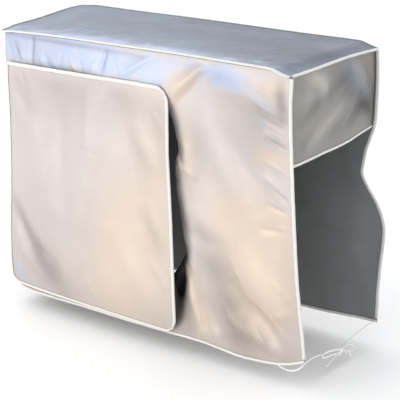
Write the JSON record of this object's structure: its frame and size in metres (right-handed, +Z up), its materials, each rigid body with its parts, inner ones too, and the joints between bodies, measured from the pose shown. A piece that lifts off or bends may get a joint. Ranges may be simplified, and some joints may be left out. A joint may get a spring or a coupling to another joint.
{
  "type": "fitted outdoor air conditioner cover",
  "caption": "Silver coated cloth box cover, open below, with a bound vent flap, a short open side and a bow tie at the hem",
  "frame": {"origin": "middle of the underside of the top panel, where the cover rests on the unit that it fits", "axes": "+Z up, -Y towards the front with the flap, +X towards the short open side, the viewer's right"},
  "size_m": [0.7846, 0.2876, 0.6092],
  "materials": {
    "silver_cloth": "silver coated plain weave, soft sheen",
    "binding_tape": "matt woven tape",
    "tie_cord": "matt woven cord"
  },
  "bodies": {
    "root": {"top_panel": "silver_cloth", "front_panel": "silver_cloth", "back_panel": "silver_cloth", "right_side_panel": "silver_cloth", "left_side_panel": "silver_cloth", "front_flap": "silver_cloth", "top_front_binding": "binding_tape", "top_back_binding": "binding_tape", "top_left_binding": "binding_tape", "top_right_binding": "binding_tape", "front_left_binding": "binding_tape", "front_right_binding": "binding_tape", "back_left_binding": "binding_tape", "back_right_binding": "binding_tape", "front_hem_binding": "binding_tape", "back_hem_binding": "binding_tape", "side_hem_binding": "binding_tape", "left_hem_binding": "binding_tape", "flap_binding": "binding_tape", "tie_knot": "tie_cord", "front_tie": "tie_cord", "back_tie": "tie_cord", "bow_loop_left": "tie_cord", "bow_loop_right": "tie_cord", "tie_end_long": "tie_cord", "tie_end_short": "tie_cord"}
  },
  "joints": []
}
